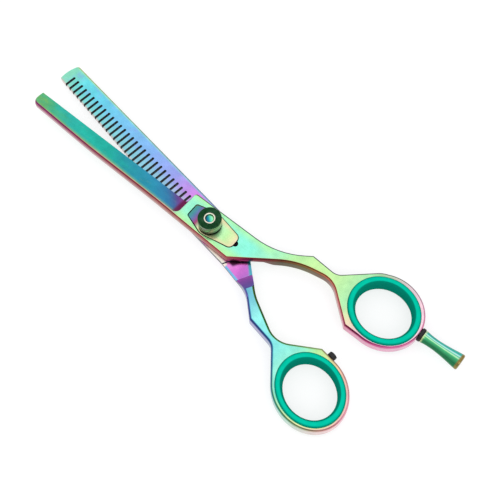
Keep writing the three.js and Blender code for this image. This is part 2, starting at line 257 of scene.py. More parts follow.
def boolean(obj, cutters, operation="DIFFERENCE"):
    """obj joined with, or cut by, each of the cutters, which are then removed."""
    for cutter in cutters:
        modifier = obj.modifiers.new("cut", "BOOLEAN")
        modifier.operation = operation
        modifier.solver = "MANIFOLD"
        modifier.object = cutter
        depsgraph = bpy.context.evaluated_depsgraph_get()
        made = bpy.data.meshes.new_from_object(obj.evaluated_get(depsgraph))
        obj.modifiers.clear()
        obj.data = made
        bpy.data.objects.remove(cutter)
    return obj


def transformed(obj, matrix):
    obj.data.transform(matrix)
    return obj


def moved(x, y, z):
    return Matrix.Translation((x * MM, y * MM, z * MM))


def box_cutter(low, high):
    corners = [(low[0], low[1]), (high[0], low[1]), (high[0], high[1]), (low[0], high[1])]
    return loft("cutter", [(corners, low[2]), (corners, high[2])])


def finish_surface(obj, angle=28):
    """Smooth shading that stays flat on flat faces and sharp at edges over the angle."""
    mesh = obj.data
    mesh.polygons.foreach_set("use_smooth", [True] * len(mesh.polygons))
    mesh.set_sharp_from_angle(angle=math.radians(angle))
    weighted = obj.modifiers.new("even normals", "WEIGHTED_NORMAL")
    weighted.keep_sharp = True
    weighted.weight = 80


# ---- the two forged halves


def edge_levels(loop_at, edge, steps=7):
    """Loops of a plate as thick as the handle whose outer edges are rounded over."""
    levels = []
    for k in range(steps + 1):
        angle = 0.5 * math.pi * k / steps
        inset = edge["width"] * (1 - math.cos(angle))
        z = HALF_THICKNESS - edge["depth"] * (1 - math.sin(angle))
        levels.append((inset, z))
    return [(loop_at(i), -z) for i, z in levels[::-1]] + [(loop_at(i), z) for i, z in levels]


def body_loop(corners, inset, blade_factor):
    """The outline moved inwards, further along the blade, whose back is more widely rounded."""
    loop = []
    for near, far in zip(outline(corners, inset), outline(corners, inset * blade_factor)):
        share = min(max((near.x - 9) / 6, 0), 1)
        loop.append(near.lerp(far, share * share * (3 - 2 * share)))
    return loop


def blank_half(name, corners, ring, hole, edge):
    body = loft(name, edge_levels(lambda inset: body_loop(corners, inset, edge["blade"]), edge))
    hoop = loft("hoop", edge_levels(lambda inset: ellipse(ring, inset), edge))
    bore_levels = [(ellipse(hole), z) for z in (-HALF_THICKNESS - 1, HALF_THICKNESS + 1)]
    boolean(body, [hoop], "UNION")
    return boolean(body, [loft("bore", bore_levels)])


def ride_cutter():
    """What is milled off the inner side so that the halves lie flat on each other."""
    reach, below, width = 95, -HALF_THICKNESS - 1, 60
    ramp_end = RAMP_START_X + (RAMP_END_X - RAMP_START_X) * (1 + 1 / HALF_THICKNESS)
    profile = [
        (reach, RIDE_GAP),
        (RIDE_END_X, RIDE_GAP),
        (RIDE_END_X - 0.25, RIDE_GAP + NECK_DROP),
        (RAMP_START_X, RIDE_GAP + NECK_DROP),
        (ramp_end, below),
        (reach, below),
    ]
    flat = [(x - RAMP_START_X, z) for x, z in profile]
    cutter = loft("ride", [(flat, -width), (flat, width)])
    turn = Matrix.Rotation(RAMP_SKEW, 4, "Z") @ Matrix.Rotation(math.pi / 2, 4, "X")
    return transformed(cutter, moved(RAMP_START_X, RAMP_CENTRE_Y, 0) @ turn)


def facet_cutter():
    """What is ground off the plain blade's outer face, with a sloped heel wall."""
    far = PLAIN_LENGTH + 9
    plan = [
        (HEEL_X, FACET_SPINE_Y, 2),
        (HEEL_X - 0.6, -9, 1.2),
        (far, -9, 1.2),
        (far, FACET_TIP_Y, 1.2),
    ]
    depth = HALF_THICKNESS - RIDE_GAP
    levels = []
    for k in range(7):
        rise = k / 6
        slope = HEEL_SLOPE * (1 - rise) ** 1.35
        levels.append((outline(plan, slope), RIDE_GAP + depth * rise))
    levels.append((outline(plan, 0), HALF_THICKNESS + 2))
    prism = loft("facet", levels)
    slope = math.atan2(depth - EDGE_THICKNESS, FACET_SPINE_Y - CUTTING_EDGE_Y)
    taper = math.atan2(FACET_SPINE_Y - FACET_TIP_Y, far - HEEL_X)
    under = box_cutter((-100, -30, -10), (100, 30, 0))
    turn = Matrix.Rotation(-taper, 4, "Z") @ Matrix.Rotation(slope, 4, "X")
    transformed(under, moved(HEEL_X, FACET_SPINE_Y, HALF_THICKNESS) @ turn)
    return boolean(prism, [under])


def disc_cutter(radius, low, high, x=0, y=0, count=64):
    points = []
    for k in range(count):
        angle = 2 * math.pi * k / count
        points.append((x + radius * math.cos(angle), y + radius * math.sin(angle)))
    return loft("disc", [(points, low), (points, high)])


def grown(corners, gap):
    return [(x + math.copysign(gap, x), y + math.copysign(gap, y), r + gap) for x, y, r in corners]


def rest_axis():
    """Carries a piece turned about Z onto the finger rest's axis."""
    turn = Matrix.Rotation(REST["lean"], 4, "Z") @ Matrix.Rotation(-math.pi / 2, 4, "Y")
    return moved(REST["x"], REST["y"], PARTING_Z) @ turn


def plain_half():
    top = HALF_THICKNESS + 1
    floor = PLATE_BOTTOM - FIT - PARTING_Z
    half = blank_half("plain_half_forging", PLAIN_OUTLINE, FINGER_RING, FINGER_HOLE, PLAIN_EDGE)
    flats = box_cutter((-5, -KEY_HALF_WIDTH, -5), (5, KEY_HALF_WIDTH, 5))
    key = boolean(disc_cutter(BORE_RADIUS, -top, top), [flats], "INTERSECT")
    pocket = outline(grown(PLATE_OUTLINE, POCKET_GAP), 0)
    stud_hole = transformed(disc_cutter(STUD_RADIUS, -3.2, 3), moved(0, 0, -PARTING_Z) @ rest_axis())
    boolean(half, [ride_cutter(), facet_cutter(), key])
    boolean(half, [loft("pocket", [(pocket, floor), (pocket, top)])])
    boolean(half, [disc_cutter(NOTCH["radius"], floor, top, NOTCH["x"], NOTCH["y"], 32)])
    boolean(half, [disc_cutter(WASHER_RECESS["radius"], -1, WASHER_RECESS["depth"])])
    seat = box_cutter((REST["x"] - 4, REST["y"] - 2.7, -4), (REST["x"], REST["y"] + 2.7, 4))
    return boolean(half, [seat, stud_hole])


def slot_cutters():
    """All the comb's slots as one cutter: straight sides and a wider round root."""
    half = SLOT_WIDTH / 2
    neck = math.asin(half / SLOT_ROOT_RADIUS)
    shape = [(-half, -8), (half, -8)]
    for k in range(13):
        angle = -math.pi / 2 + neck + (2 * math.pi - 2 * neck) * k / 12
        shape.append((SLOT_ROOT_RADIUS * math.cos(angle), SLOT_ROOT_Y + SLOT_ROOT_RADIUS * math.sin(angle)))
    slots = []
    for i in range(SLOTS):
        points = [(x + FIRST_SLOT_X - i * SLOT_PITCH, y) for x, y in shape]
        slots.append(loft("slot", [(points, -1), (points, HALF_THICKNESS + 1)]))
    cutter = slots[0]
    made = bmesh.new()
    for slot in slots:
        made.from_mesh(slot.data)
    made.to_mesh(cutter.data)
    made.free()
    for slot in slots[1:]:
        bpy.data.objects.remove(slot)
    return cutter


def comb_half():
    top = HALF_THICKNESS + 1
    half = blank_half("comb_half_forging", COMB_OUTLINE, THUMB_RING, THUMB_HOLE, COMB_EDGE)
    stem = disc_cutter(STEM_RADIUS, -1, 1.0, 0, 0, 24)
    transformed(stem, moved(BUMPER["x"], BUMPER["seat_y"], 0) @ Matrix.Rotation(math.pi / 2, 4, "X"))
    head = disc_cutter(HEAD_RECESS["radius"], HEAD_RECESS["floor"], top)
    washer = disc_cutter(WASHER_RECESS["radius"], -1, WASHER_RECESS["depth"])
    boolean(half, [ride_cutter(), disc_cutter(BORE_RADIUS, -top, top)])
    return boolean(half, [head, washer, stem, slot_cutters()])


def stand_plain(obj):
    """From the half frame to the row frame, for what belongs to the plain half."""
    transformed(obj, moved(0, 0, PARTING_Z))
    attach(obj, "plain_half")


def stand_comb(obj):
    """The comb half is turned over about X, then opened about Z."""
    turn = Matrix.Rotation(-REST_ANGLE, 4, "Z") @ Matrix.Rotation(math.pi, 4, "X")
    transformed(obj, moved(0, 0, PARTING_Z) @ turn)
    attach(obj, "comb_half")


# ---- rubber parts


def ring_insert(name, hole):
    """The rubber insert: a half-round inner face, and two lips that clip over the hole's rim."""
    outer = hole["a"] + LIP_OVERLAP
    rim = hole["a"] - FIT
    crown = outer - INSERT_WIDTH / 2
    groove = HALF_THICKNESS + FIT
    rise = INSERT_HALF_HEIGHT - groove
    profile = []
    for k in range(25):
        angle = -math.pi / 2 + math.pi * k / 24
        swell = math.copysign(abs(math.cos(angle)) ** 0.9, math.cos(angle))
        profile.append((crown - INSERT_WIDTH / 2 * swell, INSERT_HALF_HEIGHT * math.sin(angle)))
    bend = [0.5 * math.pi * k / 8 for k in range(1, 9)]
    lip = [(crown + (outer - crown) * math.sin(a), groove + rise * math.cos(a)) for a in bend]
    lip.append((rim, groove))
    profile += lip + [(r, -z) for r, z in lip[::-1]]
    insert = lathe(name, profile[::-1], 160)
    squeeze = Matrix.Scale(hole["b"] / hole["a"], 4, (0, 1, 0))
    place = moved(hole["x"], hole["y"], 0) @ Matrix.Rotation(hole["tilt"], 4, "Z")
    return transformed(insert, place @ squeeze)


def bumper():
    profile = [
        (0, -0.9, 0),
        (0.8, -0.9, 0),
        (0.8, 0.1, 0),
        (BUMPER["radius"], 0.1, 0.12),
        (BUMPER["radius"], BUMPER["height"], 0.4),
        (0, BUMPER["height"], 0),
    ]
    stub = lathe("bumper_stub", rounded(profile), 64)
    place = moved(BUMPER["x"], BUMPER["seat_y"], 0) @ Matrix.Rotation(-math.pi / 2, 4, "X")
    return transformed(stub, place)


# ---- pivot stack


def leaf():
    """The leaf under the knob: softened edges, and a front end that slopes down."""
    soft = 0.14
    levels = [
        (outline(PLATE_OUTLINE, 0), PLATE_BOTTOM),
        (outline(PLATE_OUTLINE, 0), PLATE_TOP - soft),
        (outline(PLATE_OUTLINE, soft * 0.3), PLATE_TOP - soft * 0.3),
        (outline(PLATE_OUTLINE, soft), PLATE_TOP),
    ]
    plate = loft("tension_leaf", levels)
    slope = box_cutter((0, -10, 0), (10, 10, 4))
    transformed(slope, moved(3.9, 0, PLATE_TOP) @ Matrix.Rotation(math.radians(8), 4, "Y"))
    return boolean(plate, [disc_cutter(1.5, 0, 10), slope])


def knob():
    profile = [
        (2.02, 7.0, 0),
        (4.0, 7.0, 0.35),
        (4.0, 10.8, 0.4),
        (3.3, 10.76, 0),
        (2.4, 10.7, 0),
        (2.02, 10.74, 0),
    ]
    return lathe("knob_turned", rounded(profile, 8), 128)


def core():
    profile = [(1.45, 7.0, 0), (1.92, 7.0, 0), (1.92, 10.85, 0.14), (1.45, 10.85, 0.2)]
    return lathe("core_turned", rounded(profile, 6), 96)


def screw():
    profile = [
        (0, 0, 0),
        (4.3, 0, 0.3),
        (4.3, 0.9, 0.1),
        (2.2, 0.9, 0),
        (2.2, PLATE_BOTTOM - FIT, 0),
        (1.35, PLATE_BOTTOM - FIT, 0),
        (1.35, 10.3, 0.35),
        (0, 10.5, 0),
    ]
    turned = lathe("screw_turned", rounded(profile, 6), 96)
    for side in (-1, 1):
        low, high = sorted((side * (KEY_HALF_WIDTH - FIT), side * 3.7))
        boolean(turned, [box_cutter((-5, low, PARTING_Z + RIDE_GAP), (5, high, 7))])
    return turned


def finger_rest():
    base = 1.35
    stations = [
        (2.05, 0), (2.18, 0.12), (2.2, 0.35), (1.98, 1.5), (1.87, 3.0), (1.83, 4.8), (1.93, 6.8),
        (2.09, 8.6), (2.3, 10.4), (2.55, 12.2), (2.69, 13.3), (2.75, 13.7), (2.75, 14.1), (2.62, 14.36),
    ]
    curve = smooth_profile(stations, 5)
    profile = [(0, base + 5), (STUD_RADIUS, base + 5), (STUD_RADIUS, base)]
    profile += [(r, base + z) for r, z in curve]
    profile += [(2.4, base + 14.5), (1.6, base + 14.57), (0, base + 14.6)]
    return transformed(lathe("rest_turned", profile, 96), rest_axis())


def smooth_profile(points, steps):
    """A smooth curve through the points, sampled between each pair."""
    out = []
    for i in range(len(points) - 1):
        before = Vector(points[max(i - 1, 0)])
        here, there = Vector(points[i]), Vector(points[i + 1])
        after = Vector(points[min(i + 2, len(points) - 1)])
        for k in range(steps):
            t = k / steps
            bend = 0.5 * (
                2 * here
                + (there - before) * t
                + (2 * before - 5 * here + 4 * there - after) * t**2
                + (3 * here - before - 3 * there + after) * t**3
            )
            out.append(tuple(bend))
    out.append(points[-1])
    return out


def rest_washer():
    profile = [(STUD_RADIUS, 0.1, 0), (2.35, 0.1, 0.3), (2.35, 1.25, 0.3), (STUD_RADIUS, 1.25, 0)]
    return transformed(lathe("rest_grommet", rounded(profile), 80), rest_axis())


# ---- materials


def linear(colour):
    """A display colour, 0 to 255, as the linear values that the shader takes."""
    return [*((c / 255 / 12.92) if c <= 10 else ((c / 255 + 0.055) / 1.055) ** 2.4 for c in colour), 1.0]


class Nodes:
    """Short calls for building a node tree."""

    def __init__(self, material):
        material.use_nodes = True
        self.tree = material.node_tree
        self.tree.nodes.clear()
        self.output = self.tree.nodes.new("ShaderNodeOutputMaterial")
        self.shader = self.tree.nodes.new("ShaderNodeBsdfPrincipled")
        self.link(self.shader.outputs[0], self.output.inputs[0])
        self.coords = self.tree.nodes.new("ShaderNodeTexCoord")

    def link(self, source, target):
        self.tree.links.new(source, target)

    def feed(self, value, socket):
        """Joins or sets the socket; a tuple is a display colour."""
        if hasattr(value, "is_output"):
            self.link(value, socket)
        else:
            socket.default_value = linear(value) if isinstance(value, tuple) else value

    def math(self, operation, a, b=0.0):
        node = self.tree.nodes.new("ShaderNodeMath")
        node.operation = operation
        self.feed(a, node.inputs[0])
        self.feed(b, node.inputs[1])
        return node.outputs[0]

    def plus(self, a, b):
        return self.math("ADD", a, b)

    def times(self, a, *factors):
        for factor in factors:
            a = self.math("MULTIPLY", a, factor)
        return a

    def slant(self, offset, *terms):
        """The offset plus each term's value times its weight."""
        total = offset
        for value, weight in terms:
            total = self.plus(self.times(value, weight), total)
        return total

    def beyond(self, x, y, point, towards):
        """How far x and y lie beyond a line through the point, in the direction towards."""
        offset = -point[0] * towards[0] - point[1] * towards[1]
        return self.slant(offset, (x, towards[0]), (y, towards[1]))

    def span(self, value, low, high):
        """0 below low, 1 above high, smooth between."""
        node = self.tree.nodes.new("ShaderNodeMapRange")
        node.interpolation_type = "SMOOTHSTEP"
        self.feed(value, node.inputs["Value"])
        node.inputs["From Min"].default_value = low
        node.inputs["From Max"].default_value = high
        return node.outputs[0]

    def position(self, turn=0.0):
        """Place in the piece's own coordinates, in millimetres, turned about Z."""
        node = self.tree.nodes.new("ShaderNodeMapping")
        node.inputs["Rotation"].default_value = (0, 0, turn)
        node.inputs["Scale"].default_value = (1000, 1000, 1000)
        self.link(self.coords.outputs["Object"], node.inputs["Vector"])
        return node.outputs[0]

    def normal(self, turn=0.0):
        node = self.tree.nodes.new("ShaderNodeVectorRotate")
        node.rotation_type = "Z_AXIS"
        node.inputs["Angle"].default_value = turn
        self.link(self.coords.outputs["Normal"], node.inputs["Vector"])
        return node.outputs[0]

    def split(self, vector):
        node = self.tree.nodes.new("ShaderNodeSeparateXYZ")
        self.link(vector, node.inputs[0])
        return node.outputs

    def noise(self, vector, scale, detail=2.0, roughness=0.5, stretch=(1, 1, 1)):
        squeeze = self.tree.nodes.new("ShaderNodeMapping")
        squeeze.inputs["Scale"].default_value = stretch
        self.link(vector, squeeze.inputs["Vector"])
        node = self.tree.nodes.new("ShaderNodeTexNoise")
        node.inputs["Scale"].default_value = scale
        node.inputs["Detail"].default_value = detail
        node.inputs["Roughness"].default_value = roughness
        self.link(squeeze.outputs[0], node.inputs["Vector"])
        return node.outputs["Fac"]

    def ramp(self, value, low, high, stops):
        """Colours at places between low and high."""
        node = self.tree.nodes.new("ShaderNodeValToRGB")
        place = self.math("DIVIDE", self.plus(value, -low), high - low)
        self.link(place, node.inputs[0])
        elements = node.color_ramp.elements
        stops = sorted(stops)
        while len(elements) < len(stops):
            elements.new(1.0)
        for element, (at, colour) in zip(elements, stops):
            element.position = (at - low) / (high - low)
            element.color = linear(colour)
        return node.outputs[0]

    def mix(self, factor, a, b, blend="MIX"):
        node = self.tree.nodes.new("ShaderNodeMix")
        node.data_type = "RGBA"
        node.blend_type = blend
        self.feed(factor, node.inputs[0])
        self.feed(a, node.inputs[6])
        self.feed(b, node.inputs[7])
        return node.outputs[2]

    def surface(self, colour, rough, metal=0.0, normal=None):
        self.link(colour, self.shader.inputs["Base Color"])
        self.link(rough, self.shader.inputs["Roughness"])
        self.shader.inputs["Metallic"].default_value = metal
        if normal is not None:
            self.link(normal, self.shader.inputs["Normal"])

    def bump(self, height, strength, distance, normal=None):
        node = self.tree.nodes.new("ShaderNodeBump")
        node.inputs["Strength"].default_value = strength
        node.inputs["Distance"].default_value = distance * MM
        self.link(height, node.inputs["Height"])
        if normal is not None:
            self.link(normal, node.inputs["Normal"])
        return node.outputs[0]


def coat(nodes, place, colour, rough=0.2, metal=1.0):
    """Polished steel under an interference coat: mottled tint, hair scratches, uneven polish."""
    cloud = nodes.noise(place, 0.35, 3.0, 0.6)
    grain = nodes.noise(place, 2.2, 4.0, 0.65, (0.25, 1.6, 1.0))
    scratch = nodes.noise(place, 9.0, 2.0, 0.5, (0.12, 2.2, 1.0))
    shade = nodes.ramp(cloud, 0.3, 0.7, [(0.3, (232, 236, 236)), (0.7, (255, 255, 255))])
    tinted = nodes.mix(1.0, colour, shade, "MULTIPLY")
    uneven = nodes.bump(cloud, 0.06, 0.05, nodes.bump(scratch, 0.05, 0.02))
    nodes.surface(tinted, nodes.slant(rough - 0.07, (grain, 0.14)), metal, uneven)


def material(name):
    made = bpy.data.materials.new(name)
    return made, Nodes(made)


# Colours of the coat, and round the edges painted light, as (place, colour) stops. The place is x in
# millimetres, or degrees round a ring.
# Near is the side at +Y, far the one at -Y
PLAIN_FACE = [
    (-52, (178, 240, 182)), (-44, (204, 248, 172)), (-36, (206, 248, 170)), (-29, (190, 246, 172)),
    (-23, (172, 248, 204)), (-16, (148, 252, 226)), (2, (156, 252, 214)), (10, (164, 250, 214)),
    (14, (215, 178, 168)), (20, (176, 186, 182)), (40, (145, 188, 162)), (60, (114, 182, 152)),
    (77, (138, 190, 104)),
]
FINGER_RING_FACE = [
    (-180, (250, 218, 230)), (-140, (252, 212, 226)), (-100, (226, 204, 210)), (-70, (200, 202, 184)),
    (-40, (176, 220, 166)), (-10, (156, 228, 178)), (10, (156, 232, 186)), (40, (236, 240, 178)),
    (62, (248, 226, 196)), (82, (250, 210, 224)), (100, (250, 212, 228)), (140, (244, 208, 228)),
    (180, (250, 218, 230)),
]
# Edge tables: wall and side are partly the coat and partly painted reflection; each line is painted shade
# and each glint a painted highlight.
PLAIN_NEAR = {
    "wall": [
        (-76, (238, 178, 204)), (-58, (226, 150, 180)), (-50, (196, 108, 104)), (-42, (116, 66, 44)),
        (-34, (88, 78, 2)), (-26, (70, 58, 4)), (-18, (144, 60, 76)), (-8, (180, 110, 104)),
        (10, (188, 142, 132)), (77, (206, 164, 176)),
    ],
    "side": [
        (-76, (224, 124, 168)), (-66, (204, 84, 142)), (-57, (170, 66, 108)), (-50, (200, 110, 112)),
        (-42, (196, 112, 84)), (-34, (142, 106, 56)), (-26, (112, 62, 46)), (-18, (152, 56, 76)),
        (-8, (182, 104, 102)), (10, (178, 116, 110)), (40, (172, 110, 114)), (77, (166, 100, 124)),
    ],
    "line": [
        (-76, (160, 66, 112)), (-60, (128, 34, 84)), (-50, (128, 44, 54)), (-36, (96, 56, 34)),
        (-22, (78, 26, 34)), (-10, (150, 52, 62)), (10, (132, 46, 60)), (40, (130, 30, 72)),
        (77, (104, 26, 96)),
    ],
    "glint": [
        (-76, (255, 226, 240)), (-62, (250, 208, 228)), (-54, (252, 226, 170)), (-40, (236, 196, 124)),
        (-22, (196, 172, 120)), (-6, (236, 248, 190)), (10, (240, 232, 176)), (15, (206, 166, 110)),
        (77, (192, 184, 92)),
    ],
}
# The far edges are painted darker than the near ones, as painted shade.
PLAIN_FAR = {
    "wall": [(-76, (220, 150, 180)), (-60, (150, 140, 140)), (77, (110, 130, 130))],
    "side": [(-76, (210, 110, 150)), (-62, (70, 60, 70)), (-40, (30, 36, 64)), (77, (40, 60, 66))],
    "line": [
        (-76, (232, 150, 188)), (-70, (182, 118, 146)), (-63, (96, 82, 88)), (-57, (62, 84, 76)),
        (-48, (40, 46, 62)), (-36, (34, 42, 66)), (-20, (26, 62, 72)), (-6, (34, 90, 72)),
        (8, (70, 98, 40)),
    ],
    "glint": [
        (-76, (246, 190, 214)), (-66, (170, 136, 146)), (-57, (104, 118, 88)), (-40, (62, 76, 82)),
        (-20, (48, 98, 92)), (-6, (60, 122, 92)), (8, (96, 124, 60)),
    ],
}
PLAIN_FACET = [
    (12, (136, 74, 150)), (14, (112, 84, 158)), (16, (80, 108, 166)), (19, (62, 136, 184)),
    (26, (54, 156, 188)), (34, (50, 162, 180)), (44, (44, 186, 170)), (54, (46, 196, 176)),
    (63, (56, 194, 180)), (68, (70, 192, 160)), (72, (88, 194, 142)), (77, (124, 194, 112)),
]

# The same for the comb half, once it is closed
COMB_FACE = [
    (-52, (158, 244, 218)), (-44, (140, 240, 238)), (-34, (156, 246, 240)), (-28, (126, 206, 226)),
    (-25, (120, 192, 214)), (-20.4, (190, 112, 206)), (-17, (228, 124, 220)), (-12, (244, 156, 228)),
    (6, (230, 140, 236)), (14, (208, 146, 234)),
]
THUMB_RING_FACE = [
    (-180, (240, 204, 176)), (-140, (244, 194, 192)), (-100, (250, 206, 176)), (-80, (226, 230, 160)),
    (-50, (186, 244, 166)), (-20, (156, 244, 210)), (20, (150, 236, 228)), (60, (140, 232, 206)),
    (90, (178, 240, 180)), (120, (214, 244, 168)), (150, (230, 236, 168)), (180, (240, 204, 176)),
]
# Edge tables: wall and side are partly the coat and partly painted reflection; each line is painted shade
# and each glint a painted highlight.
COMB_NEAR = {
    "wall": [
        (-76, (240, 200, 200)), (-64, (170, 216, 196)), (-54, (130, 180, 190)), (-40, (150, 144, 190)),
        (-26, (130, 124, 180)), (-20, (60, 76, 104)), (-12, (36, 42, 56)), (8, (60, 62, 74)),
        (16, (170, 156, 160)), (77, (226, 196, 192)),
    ],
    "side": [
        (-76, (226, 158, 160)), (-70, (176, 196, 156)), (-62, (98, 184, 156)), (-54, (62, 142, 152)),
        (-46, (64, 106, 156)), (-36, (66, 84, 150)), (-28, (84, 84, 150)), (-22, (96, 140, 184)),
        (-14, (44, 52, 70)), (6, (70, 70, 84)), (12, (160, 150, 150)), (77, (206, 166, 160)),
    ],
    "line": [
        (-76, (140, 90, 90)), (-68, (110, 124, 80)), (-60, (60, 120, 90)), (-50, (40, 86, 116)),
        (-40, (44, 62, 116)), (-28, (52, 66, 120)), (-18, (64, 100, 130)), (-12, (34, 38, 52)),
        (6, (40, 42, 54)), (77, (112, 104, 92)),
    ],
    "glint": [
        (-76, (252, 216, 206)), (-66, (240, 238, 176)), (-56, (170, 236, 180)), (-48, (100, 204, 216)),
        (-34, (104, 186, 216)), (-22, (124, 190, 226)), (-16, (60, 80, 100)), (6, (60, 66, 80)),
        (12, (196, 214, 200)), (77, (212, 206, 180)),
    ],
}
# The far edges are painted darker than the near ones, as painted shade.
COMB_FAR = {
    "wall": [(-76, (236, 180, 190)), (-56, (160, 180, 140)), (77, (150, 160, 140))],
    "side": [
        (-76, (236, 160, 176)), (-56, (130, 160, 100)), (-40, (30, 84, 40)), (-16, (30, 76, 92)),
        (77, (120, 130, 100)),
    ],
    "line": [
        (-76, (234, 160, 176)), (-68, (226, 152, 150)), (-62, (206, 168, 132)), (-55, (150, 190, 116)),
        (-48, (52, 120, 60)), (-36, (40, 94, 34)), (-27, (66, 90, 22)), (-20, (44, 104, 110)),
        (-10, (66, 110, 140)), (10, (96, 120, 140)), (50, (128, 150, 124)), (77, (176, 186, 116)),
    ],
    "glint": [
        (-76, (255, 200, 206)), (-62, (236, 206, 156)), (-52, (140, 196, 124)), (-36, (66, 130, 56)),
        (-26, (84, 122, 40)), (-18, (84, 160, 170)), (77, (150, 190, 150)),
    ],
}
COMB_BLADE = [
    (10, (230, 140, 238)), (14, (206, 146, 236)), (22, (162, 168, 244)), (34, (140, 188, 248)),
    (48, (128, 202, 246)), (60, (112, 214, 240)), (70, (112, 226, 234)), (76, (142, 226, 196)),
]
BACK_STRIPE = [(0, (152, 168, 222)), (20, (156, 196, 222)), (45, (150, 220, 220)), (76, (160, 232, 184))]
BACK_RIM = [(0, (74, 88, 134)), (20, (92, 120, 134)), (50, (132, 156, 112)), (76, (164, 166, 92))]


def ring_face(nodes, face, x, y, centre, colours):
    """Colours by the degrees round a ring, 0 towards the blade and 90 on the near side."""
    angle = nodes.math("ARCTAN2", nodes.plus(y, -centre[1]), nodes.plus(x, -centre[0]))
    round_ring = nodes.ramp(nodes.times(angle, 180 / math.pi), -180, 180, colours)
    return nodes.mix(nodes.span(x, -50, -56), face, round_ring)


def side_colours(nodes, x, up, colours):
    """From the upright wall up to the face: wall, side, a dark line of painted shade and a pale glint of
    painted highlight.
    """
    wall, side, line, glint = (
        nodes.ramp(x, -REACH, REACH, colours[part]) for part in ("wall", "side", "line", "glint")
    )
    over = nodes.mix(nodes.span(up, 0.08, 0.3), wall, side)
    over = nodes.mix(nodes.span(up, 0.55, 0.74), over, line)
    return nodes.mix(nodes.span(up, 0.91, 0.97), over, glint)


def edged(nodes, face, x, near_side, far_side, facing):
    """The face colour on top, and round the edges painted light by the side that they look to, the far side
    darker as painted shade.
    """
    up = nodes.math("ABSOLUTE", facing[2])
    near = side_colours(nodes, x, up, near_side)
    far = side_colours(nodes, x, up, far_side)
    # Painted light: edges that look towards -Y get the darker, shaded colours.
    both = nodes.mix(nodes.span(facing[1], -0.12, 0.12), far, near)
    return nodes.mix(nodes.span(up, 0.985, 0.998), both, face)


def plain_coat():
    """Greener towards both edges of the boss, and pink round the end of the ring."""
    made, nodes = material("plain half coat")
    place = nodes.position()
    x, y, _ = nodes.split(place)
    face = nodes.ramp(x, -REACH, REACH, PLAIN_FACE)
    off_centre = nodes.span(nodes.math("ABSOLUTE", nodes.plus(y, 0.6)), 1.6, 5.4)
    on_boss = nodes.times(nodes.span(x, -25, -20), nodes.span(x, 12, 11))
    face = nodes.mix(nodes.times(off_centre, on_boss), face, (184, 250, 178))
    face = ring_face(nodes, face, x, y, (FINGER_RING["x"], FINGER_RING["y"]), FINGER_RING_FACE)
    coat(nodes, place, edged(nodes, face, x, PLAIN_NEAR, PLAIN_FAR, nodes.split(nodes.normal())))
    return made


def plain_facet():
    """Wandering bands along the blade, worn patches, a greener strip along the spine that is a painted
    glint, and a maroon foot at the heel that is partly the coat's colour and partly painted shade.
    """
    made, nodes = material("plain facet coat")
    place = nodes.position()
    x, y, _ = nodes.split(place)
    wander = nodes.plus(nodes.noise(place, 0.14, 4.0, 0.65, (1, 2.5, 1)), -0.5)
    wander = nodes.times(wander, nodes.span(x, 14, 34), 22)
    along = nodes.plus(wander, nodes.slant(0, (x, 1), (y, 1.2)))
    worn = nodes.span(nodes.noise(place, 0.5, 4.0, 0.7, (0.5, 1.4, 1)), 0.56, 0.72)
    colour = nodes.ramp(along, 0, 84, PLAIN_FACET)
    colour = nodes.mix(nodes.times(worn, 0.3), colour, (120, 170, 150))
    # A painted glint: greener along the spine's edge.
    spine = nodes.beyond(x, y, (HEEL_X, 0), (SPINE_TAPER, 1))
    colour = nodes.mix(nodes.times(nodes.span(spine, 3.2, 4.2), 0.4), colour, (150, 200, 120))
    # The maroon foot by the heel: partly the coat's colour, partly painted shade.
    painted_shade_foot = nodes.times(nodes.span(x, 13.5, 12.2), 0.85)
    coat(nodes, place, nodes.mix(painted_shade_foot, colour, (112, 26, 62)), 0.24)
    return made


def heel_coat_and_reflection():
    """The wall at the blade's heel, by height: the coat's colour, with a dark maroon lower part that is
    painted reflection of dark surroundings.
    """
    made, nodes = material("heel wall coat and reflection")
    place = nodes.position()
    height = nodes.split(place)[2]
    # Dark maroon low on the wall: painted reflection in the cove.
    stops = [(4.0, (124, 28, 76)), (4.9, (136, 52, 66)), (5.5, (144, 128, 76)), (6.1, (208, 236, 164))]
    coat(nodes, place, nodes.ramp(height, 4, 6.4, stops))
    return made


def recess_coat():
    """Walls and floor of the leaf's pocket, which see little light."""
    made, nodes = material("pocket wall")
    place = nodes.position()
    x, y, _ = nodes.split(place)
    far_side = nodes.times(nodes.span(y, -0.8, -2.2), nodes.span(x, -10.6, -9.6))
    coat(nodes, place, nodes.mix(far_side, (26, 22, 30), (150, 140, 96)), 0.4)
    return made


def comb_blade_face(nodes, place, x, y):
    """The toothed blade: greener teeth with pale tips, violet mottling, and a striped spine."""
    face = nodes.ramp(x, 0, 84, COMB_BLADE)
    face = nodes.mix(nodes.times(nodes.span(y, -3.0, 1.0), 0.5), face, (146, 222, 198))
    tips = nodes.beyond(x, y, (COMB_TIP["x"], 0), (TIPS_TAPER, 1))
    face = nodes.mix(nodes.times(nodes.span(tips, 0.2, 1.1), 0.8), face, (198, 200, 190))
    face = nodes.mix(nodes.span(x, 9, 12), nodes.ramp(x, -REACH, REACH, COMB_FACE), face)
    violet = nodes.span(nodes.noise(place, 0.3, 4.0, 0.65), 0.5, 0.66)
    violet = nodes.times(violet, nodes.span(x, 12, 24), 0.4, nodes.span(y, 1, -1))
    face = nodes.mix(violet, face, (150, 176, 246))
    from_back = nodes.beyond(x, y, (-12, 0), (BACK_TAPER, 1))
    on_blade = nodes.span(x, -6, 2)
    for low, high, colours in ((-5.1, -5.7, BACK_STRIPE), (-5.78, -5.9, BACK_RIM)):
        stripe = nodes.times(on_blade, nodes.span(from_back, low, high))
        face = nodes.mix(stripe, face, nodes.ramp(x, 0, 78, colours))
    return face


